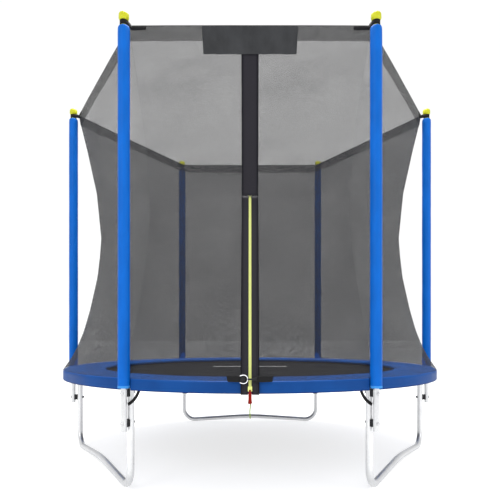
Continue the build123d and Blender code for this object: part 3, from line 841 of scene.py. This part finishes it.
def door_cord():
    """The thin cord that hangs free behind the pull."""
    points = [
        (0.0, -1.2738, 0.5292), (0.0, -1.2738, 0.5012), (0.0025, -1.2738, 0.4712),
        (-0.0015, -1.2738, 0.4372), (0.0010, -1.2738, 0.4072),
    ]
    curve = bpy.data.curves.new("green_cord", "CURVE")
    curve.dimensions = "3D"
    curve.bevel_depth = CORD_WIDTH / 2
    curve.bevel_resolution = 4
    curve.use_fill_caps = True
    line = curve.splines.new("NURBS")
    line.points.add(len(points) - 1)
    for target, point in zip(line.points, points):
        target.co = (*point, 1.0)
    line.order_u = 3
    line.use_endpoint_u = True
    line.resolution_u = 12
    curve.materials.append(CORD_BRAID)
    cord = link("green_cord", curve)
    ride(cord, "green_cord", "door_cord")
    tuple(points[0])


def rounded_path(corners):
    """Corners of a path of (x, y) with its inner ones eased."""
    path = [corners[0]]
    for before, here, after in zip(corners, corners[1:], corners[2:]):
        for share in steps(0, 1, 6):
            first = [h + (b - h) * 0.25 for b, h in zip(before, here)]
            last = [h + (a - h) * 0.25 for a, h in zip(after, here)]
            bend = [
                (1 - share) ** 2 * f + 2 * share * (1 - share) * h + share**2 * t
                for f, h, t in zip(first, here, last)
            ]
            path.append(tuple(bend))
    return path + [corners[-1]]


def door_straps():
    """The two halves of the strap that shuts the door below, sewn to the net."""
    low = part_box("door_strap_left")[0].z
    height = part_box("door_strap_left")[1].z - low
    seam = sqrt(1.257**2 - 0.11**2) + 0.0016
    rows = 6
    for side, name in ((-1, "left"), (1, "right")):
        corners = [(side * 0.110, -seam), (side * 0.062, -1.2762), (side * 0.016, -1.2762)]
        path, run = rounded_path(corners), [0.0]
        for here, after in zip(path, path[1:]):
            run.append(run[-1] + dist(here, after))
        points, coordinates = [], []
        for row in range(rows + 1):
            up = row / rows
            for (x, y), along in zip(path, run):
                slope = side * 0.006 * (1 - up) * max(0.0, 1 - along / 0.02)
                points.append(Vector((x - slope, y, low + height * up)))
                coordinates.append((along, height * up))
        faces = lattice(len(path) - 1, rows)
        label = f"door_strap_webbing_{name}"
        piece = new_piece(label, points, faces, BLACK_WEBBING, coordinates)
        thicken(piece, 0.0024)
        ride(piece, "black_webbing", f"door_strap_{name}")


def snap_ring():
    """An open white ring with flared lips, and the black knob it closes over."""
    wire = []
    for turn in steps(radians(-138), radians(138), 40):
        flare = 0.003 * max(0.0, abs(turn) - radians(110)) / radians(28)
        reach = RING_REACH + flare
        x, z = RING_CENTRE + reach * cos(turn), STRAP_Z + reach * sin(turn)
        wire.append(Vector((x, STRAP_FRONT, z)))
    ring = new_piece("snap_ring", *tube(wire, RING_WIRE, 12), WHITE_PLASTIC)
    ride(ring, "white_plastic", "strap_ring")
    profile = []
    for turn in steps(-pi / 2, pi / 2, 16):
        profile.append((max(0.0004, KNOB_RADIUS * cos(turn)), KNOB_RADIUS * sin(turn)))
    points, faces = revolved(profile, 32)
    centre = Vector((RING_CENTRE - 0.003, STRAP_FRONT + 0.002, STRAP_Z))
    points = [Vector((x, z * 0.7, -y)) + centre for x, y, z in points]
    knob = new_piece("snap_knob", points, faces, BLACK_PLASTIC)
    ride(knob, "black_plastic", "strap_toggle")
    start = Vector((RING_CENTRE + RING_REACH, STRAP_FRONT, STRAP_Z))
    rod = tube([start, start + Vector((0.038, 0, 0))], 0.0033, 12)
    tab_path = [start + Vector((0.028 + 0.016 * k / 8, 0.0015, 0)) for k in range(9)]
    tab = ribbon([(place, place.z) for place in tab_path], 0.017)
    bar = new_piece("snap_bar", *gather([rod, tab]), BLACK_PLASTIC)
    thicken(bar, 0.0016)
    ride(bar, "black_plastic", "strap_shank")


# Springs


def spring(angle):
    """A closed coil of round wire with a hook at each end."""
    path = []
    for turn in steps(-pi / 2, -1.5 * pi, 12):
        path.append((V_RING_BAR + HOOK_RADIUS * cos(turn), 0.0, HOOK_RADIUS * sin(turn)))
    path.append((SPRING_START - 0.006, 0.0, HOOK_RADIUS))
    turns = 28
    count = 8 * turns
    for k in range(count + 1):
        turn = tau * k / 8
        reach = SPRING_START + (SPRING_END - SPRING_START) * k / count
        path.append((reach, SPRING_MEAN * sin(turn), SPRING_MEAN * cos(turn)))
    path.append((SPRING_END + 0.006, 0.0, HOOK_RADIUS))
    for turn in steps(pi / 2, 0, 6):
        reach = HOOK_HOLE - HOOK_RADIUS + HOOK_RADIUS * cos(turn)
        path.append((reach, 0.0, HOOK_RADIUS * sin(turn)))
    path.append((HOOK_HOLE, 0.0, -HOOK_RADIUS))
    path = [Vector((x, y, V_RING_Z + z)) for x, y, z in path]
    points, faces = tube(path, SPRING_WIRE, 6)
    return turned(points, angle), faces


def v_ring(angle):
    """The flat wire ring that a spring hooks into, through a fold of the hem."""
    corners = [
        (MAT_RADIUS - 0.009, -0.013), (MAT_RADIUS - 0.009, 0.013),
        (V_RING_BAR, 0.006), (V_RING_BAR, -0.006),
    ]
    path = []
    for k, here in enumerate(corners):
        before, after = corners[k - 1], corners[(k + 1) % 4]
        for share in (0.82, 0.94):
            path.append([b + (h - b) * share for b, h in zip(before, here)])
        for share in (0.06, 0.18):
            path.append([h + (a - h) * share for h, a in zip(here, after)])
    path = [Vector((x, y, V_RING_Z)) for x, y in path]
    points, faces = tube(path, 0.002, 6, closed=True)
    return turned(points, angle), faces


def mat_sector(index):
    """A twelfth of the mat, its hem, rings and springs."""
    middle = radians(SECTOR_DEGREES * index)
    towards = polar(1.0, middle)
    columns, rings = 8, 26
    label = f"{index + 1:02d}"

    def place(across, up):
        angle = middle + radians(SECTOR_DEGREES) * (across - 0.5)
        return polar(MAT_RADIUS * up, angle, MAT_TOP - 0.0004)

    bed = sheet_piece(f"mat_bed_{label}", place, columns, rings, (0.3, 1.0), MAT)
    weld(bed)
    bed.data.shade_flat()  # so that the edges between sectors don't show
    thicken(bed, 0.003, 1.0)

    def edge(across, up):
        angle = middle + radians(SECTOR_DEGREES) * (across - 0.5)
        crown = 0.0008 * sin(pi * up)
        return polar(MAT_RADIUS - HEM_WIDTH * (1 - up), angle, MAT_TOP + 0.0012 + crown)

    hem = sheet_piece(f"mat_hem_{label}", edge, columns, 6, (SECTOR_WIDTH, HEM_WIDTH), MAT_WEBBING)
    hem.data.shade_flat()
    thicken(hem, 0.0012, 1.0)
    wires = []
    for k in range(4):
        angle = middle + radians(7.5 * (k - 1.5))
        wires += [spring(angle), v_ring(angle)]
    springs = new_piece(f"mat_springs_{label}", *gather(wires), SPRING_ZINC)
    for piece, slot, covered in (
        (bed, "mat_weave", ["jumping_mat"]), (hem, "black_webbing", ["mat_hem"]),
        (springs, "zinc_fasteners", ["springs", "v_rings"]),
    ):
        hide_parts(*covered)
        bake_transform(piece)


def weld(piece):
    """Joins the points that lie together at a pole of a grid."""
    work = bmesh.new()
    work.from_mesh(piece.data)
    bmesh.ops.remove_doubles(work, verts=work.verts, dist=1e-6)
    work.to_mesh(piece.data)
    work.free()


# Pad


def pad_outer(angle):
    """Reach of the pad at an angle, cut back round each pole."""
    best = PAD_OUTER
    for pole in POLE_ANGLES:
        off = (angle - pole + pi) % tau - pi
        side = POLE_CIRCLE * sin(off)
        if abs(off) < 0.1 and abs(side) < POLE_NOTCH:
            best = min(best, POLE_CIRCLE * cos(off) - sqrt(POLE_NOTCH**2 - side**2))
    return best


def pad_angles():
    """Close together at the poles' notches and at the sewn seams, wider between."""
    degrees = [0.2 * k for k in range(10)] + [2, 2.6, 3.5] + [4.5 + 1.5 * k for k in range(16)]
    degrees += [28.2, 28.9, 29.4, 29.7, 29.85]
    angles = []
    for pole in POLE_ANGLES:
        angles += [pole + radians(step) for step in degrees]
        angles += [pole + PITCH - radians(step) for step in [30] + list(reversed(degrees))[:-1]]
    return sorted({round(angle, 7) for angle in angles})


def pad_outline():
    """The pad's section as (share across, height, how free it is to swell), round from inside."""
    width = PAD_OUTER - PAD_INNER
    bottom = PAD_TOP - PAD_THICKNESS
    nose = PAD_THICKNESS / 2
    outline = []
    for turn in steps(-pi / 2, -1.5 * pi, 6):
        outline.append((nose + nose * cos(turn), PAD_TOP - nose + nose * sin(turn), 0.3))
    for k in range(1, 12):
        outline.append((nose + (width - 0.0245) * k / 12, PAD_TOP, sin(pi * k / 12)))
    for turn in steps(pi / 2, 0, 5):
        across = width - PAD_EDGE + PAD_EDGE * cos(turn)
        outline.append((across, SKIRT_TOP + PAD_EDGE * sin(turn), 0.2))
    for k in range(1, 7):
        outline.append((width, SKIRT_TOP - (SKIRT_TOP - SKIRT_BOTTOM) * k / 6, 0.0))
    for k in range(6, 2, -1):
        outline.append((width - 0.003, SKIRT_TOP - (SKIRT_TOP - SKIRT_BOTTOM) * k / 6, 0.0))
    for k in range(9):
        outline.append((width - 0.004 - (width - 0.0165) * k / 8, bottom, 0.0))
    return outline


def pad_pieces():
    """A ring of foam sections in coated cloth, with a skirt, sewn seams and piping."""
    angles, outline = pad_angles(), pad_outline()
    width = PAD_OUTER - PAD_INNER
    points = []
    for angle in angles:
        reach = pad_outer(angle) - PAD_INNER
        seam = min(abs((angle - pole - PITCH / 2 + pi) % tau - pi) for pole in POLE_ANGLES)
        pinch = exp(-((seam * 1.12 / 0.006) ** 2))
        for across, z, free in outline:
            radius = PAD_INNER + across * (reach / width if across < width - 0.02 else 1)
            if across >= width - 0.02:
                radius = PAD_INNER + reach - (width - across)
            swell = 0.0
            if free:
                where = polar(radius * 2.6, angle, z)
                swell = 0.0028 * noise.noise(where) + 0.0016 * noise.noise(where * 3.1)
                swell = free * (swell - 0.0022) - 0.0045 * pinch * min(1.0, 4 * free)
            if across < 0.03:
                lift = wobble(cos(angle) * 5, sin(angle) * 5, 7.0)
                swell += 0.003 * max(0.0, lift) * (1 - across / 0.03)
            ripple = 0.0
            if free == 0.0 and across > width - 0.001:
                low = (SKIRT_TOP - z) / (SKIRT_TOP - SKIRT_BOTTOM)
                ripple = 0.0016 * low * wobble(cos(angle) * 9, sin(angle) * 9, 2.0)
            points.append(polar(radius + ripple, angle, z + swell))
    count = len(outline)
    faces = []
    for k in range(len(angles)):
        low, high = k * count, (k + 1) % len(angles) * count
        for step in range(count):
            far = (step + 1) % count
            faces.append((low + step, high + step, high + far, low + far))
    pad = new_piece("edge_pad", points, faces, [VINYL, SKIRT_VINYL_PAINTED_SHADE])
    # The rounded outer edge, the skirt and the underside near it take the darker copy of the vinyl:
    # painted shade.
    for face in pad.data.polygons:
        if face.center.z < PAD_TOP - 0.002 and face.center.to_2d().length > PAD_OUTER - 0.06:
            face.material_index = 1
    ride(pad, "blue_vinyl", "safety_pad")
    path = []
    for angle in angles:
        ripple = 0.0016 * wobble(cos(angle) * 9, sin(angle) * 9, 2.0)
        path.append(polar(pad_outer(angle) - 0.0014 + ripple, angle, SKIRT_BOTTOM + 0.0022))
    piping = new_piece("pad_piping", *tube(path, 0.0024, 8, closed=True), PIPING)
    ride(piping, "blue_vinyl")


# Poles


def sleeve(number, angle):
    """A foam tube in a cloth sleeve, drawn in at its top, with a bound hem below."""
    centre = polar(POLE_CIRCLE, angle)
    seed = Vector((number * 7.3, 0, 0))
    heights = [SLEEVE_BOTTOM + k * 0.0015 for k in range(9)]
    heights += [SLEEVE_BOTTOM + 0.014 + k * 0.0145 for k in range(122)]
    heights = [z for z in heights if z < SLEEVE_TOP - 0.016]
    heights += [SLEEVE_TOP - 0.014 + k * 0.002 for k in range(8)]
    columns = 40
    points, coordinates = [], []
    rows = [(heights[0], POLE_RADIUS + 0.001)] + [(z, None) for z in heights]
    rows.append((SLEEVE_TOP - 0.0003, POLE_RADIUS + 0.001))
    for z, fixed in rows:
        for column in range(columns + 1):
            turn = tau * (column % columns) / columns
            around = Vector((cos(turn), sin(turn), z * 7)) + seed
            radius = SLEEVE_RADIUS - 0.0009
            radius += 0.0007 * noise.noise(around) + 0.0004 * noise.noise(around * 2.7)
            gather_in = exp(-(SLEEVE_TOP - z) / 0.005)
            radius -= gather_in * (0.0065 + 0.0012 * sin(turn * 9))
            if z < TRIM_TOP:
                radius += 0.0006
            if fixed:
                radius = fixed
            points.append(centre + polar(radius, turn, z))
            coordinates.append((SLEEVE_RADIUS * tau * column / columns, z))
    faces = lattice(columns, len(rows) - 1)
    piece = new_piece(f"sleeve_{number}", points, faces, SLEEVE, coordinates)
    piece.data.materials.append(SLEEVE_TRIM)
    for face in piece.data.polygons:
        if face.center.z < TRIM_TOP:
            face.material_index = 1
    ride(piece, "blue_sleeve", f"foam_sleeve_{number}")


def cap_shape(radius, turn, z):
    """A knob with eight shallow finger flats round its head."""
    if z < CAP_HEAD:
        return radius
    return radius * (0.955 + 0.045 * abs(cos(4 * turn)) ** 0.6)


def pole_caps():
    neck_low = SLEEVE_TOP + 0.003
    profile = [
        (0.0155, neck_low), (0.018, neck_low), (0.018, CAP_HEAD - 0.003),
        (0.0185, CAP_HEAD - 0.001), (0.0205, CAP_HEAD), (0.0225, CAP_HEAD + 0.002),
        (0.0255, CAP_HEAD + 0.008), (0.026, CAP_HEAD + 0.011),
        (0.026, CAP_TOP - 0.017), (0.0252, CAP_TOP - 0.012), (0.0215, CAP_TOP - 0.0062),
        (0.0160, CAP_TOP - 0.0028), (0.0090, CAP_TOP - 0.0006), (0.0004, CAP_TOP - 0.0002),
    ]
    parts = [revolved(profile, 64, polar(POLE_CIRCLE, angle), cap_shape) for angle in POLE_ANGLES]
    piece = new_piece("pole_knobs", *gather(parts), YELLOW_PLASTIC)
    ride(piece, "yellow_plastic", "pole_caps")


def corner_strap(angle, side):
    """An elastic loop round a cap's neck, its tail drawn down along the net's band."""
    centre = polar(POLE_CIRCLE, angle)
    loop = []
    for k in range(25):
        turn = angle + tau * k / 24
        loop.append((centre + polar(LOOP_RADIUS, turn), NET_TOP - 0.009))
    panel = Matrix.Rotation(angle + side * PITCH / 2, 3, "Z")
    tail, z = [], NET_TOP - 0.0125
    for k in range(9):
        along = 0.985 - 0.125 * k / 8
        tail.append((panel @ net_point(-side * along, z, 0.0042), z))
    start = centre + polar(LOOP_RADIUS, angle + side * 1.9)
    path = [(start, NET_TOP - 0.008)]
    for k in range(1, 4):
        share = k / 4
        path.append((start.lerp(tail[0][0], share), NET_TOP - 0.008 - 0.003 * share))
    path += tail
    return loop, path


def ribbon(path, height):
    """Points and faces of an upright strip along (place, middle height) pairs."""
    points = []
    for row in range(3):
        for place, z in path:
            points.append(Vector((place.x, place.y, z + height * (row / 2 - 0.5))))
    return points, lattice(len(path) - 1, 2)


def corner_straps():
    parts, coordinates = [], []
    for number, angle in enumerate(POLE_ANGLES, 1):
        side = 1 if number in (1, 6, 5) else -1
        for path in corner_strap(angle, side):
            parts.append(ribbon(path, 0.024))
            for row in range(3):
                coordinates += [(0.006 * k, 0.009 * row) for k in range(len(path))]
    piece = new_piece("corner_webbing", *gather(parts), BLACK_WEBBING, coordinates)
    thicken(piece, 0.0016)
    ride(piece, "black_webbing", "corner_straps")


# Carried-over CAD parts


def dress(material, bevel, *names):
    """Gives CAD nodes their finish, and a softened edge where it would catch light."""
    for name in names:
        piece = nodes[name]
        piece.data.materials.clear()
        piece.data.materials.append(material)
        if bevel:
            soften(piece, bevel)


def dress_cad_parts():
    numbers = range(1, 7)
    dress(GALVANISED, 0, "leg_frame_left", "leg_frame_rear", "leg_frame_right")
    dress(GALVANISED, 0, *(f"ring_segment_{k}" for k in numbers))
    dress(POLE_STEEL, 0, *(f"{half}_pole_{k}" for half in ("lower", "upper") for k in numbers))
    dress(BLACK_PLASTIC, 0.0008, "pole_spacers")
    dress(BOLT_ZINC, 0.0003, "coach_bolts")
    dress(NUT_ZINC, 0.0003, "bolt_nuts")
    dress(SLIDER_LACQUER, 0.0005, "zip_slider")
    dress(STRAP_CLOTH, 0.0004, "tie_straps", "pad_ties")


# Stage and camera


def floor():
    corners = [(-30, -30, 0), (30, -30, 0), (30, 60, 0), (-30, 60, 0)]
    made = Finish("floor", Roughness=0.9, Specular_IOR_Level=0.0, Emission_Strength=0.68)
    made.put(made.shader.inputs["Emission Color"], (1.0, 1.0, 1.0, 1.0))
    made.colour(made.noise(made.place(), 1.5), (0.5, 0.5, 0.5, 1), (0.53, 0.53, 0.53, 1))
    new_piece("floor", corners, [(0, 1, 2, 3)], made.material)


def area_light(name, place, target, size, power):
    lamp = bpy.data.lights.new(name, "AREA")
    lamp.shape = "DISK"
    lamp.size = size
    lamp.energy = power
    light = link(name, lamp)
    light.location = place
    light.rotation_euler = (Vector(target) - Vector(place)).to_track_quat("-Z", "Y").to_euler()


def studio():
    world = bpy.data.worlds.new("studio")
    world.use_nodes = True
    background = world.node_tree.nodes["Background"]
    background.inputs["Color"].default_value = (1.0, 1.0, 1.0, 1.0)
    background.inputs["Strength"].default_value = 1.02
    bpy.context.scene.world = world
    bpy.context.scene.view_settings.view_transform = "Standard"
    area_light("top", (0.0, 0.3, 6.2), (0, 0, 0.6), 3.4, 640)
    area_light("key", (-3.0, -5.5, 3.5), (0, 0, 1.0), 2.5, 90)
    area_light("fill", (4.5, -4.5, 2.5), (0, 0, 1.0), 2.5, 60)


def camera():
    lens = bpy.data.cameras.new("camera")
    lens.lens = 36.6
    lens.sensor_width = 36.0
    lens.shift_y = 0.169
    eye = link("camera", lens)
    eye.location = (0.0, -3.627, 0.796)
    eye.rotation_euler = (pi / 2, 0.0, 0.0)
    bpy.context.scene.camera = eye


camera()
studio()
floor()
door_cord()
net_pieces()
top_band()
door_bands()
zip_pieces()
banner()
zip_pull()
door_straps()
snap_ring()
for sector in range(SECTOR_COUNT):
    mat_sector(sector)
pad_pieces()
for number, angle in enumerate(POLE_ANGLES, 1):
    sleeve(number, angle)
pole_caps()
corner_straps()
dress_cad_parts()

bpy.context.view_layer.update()
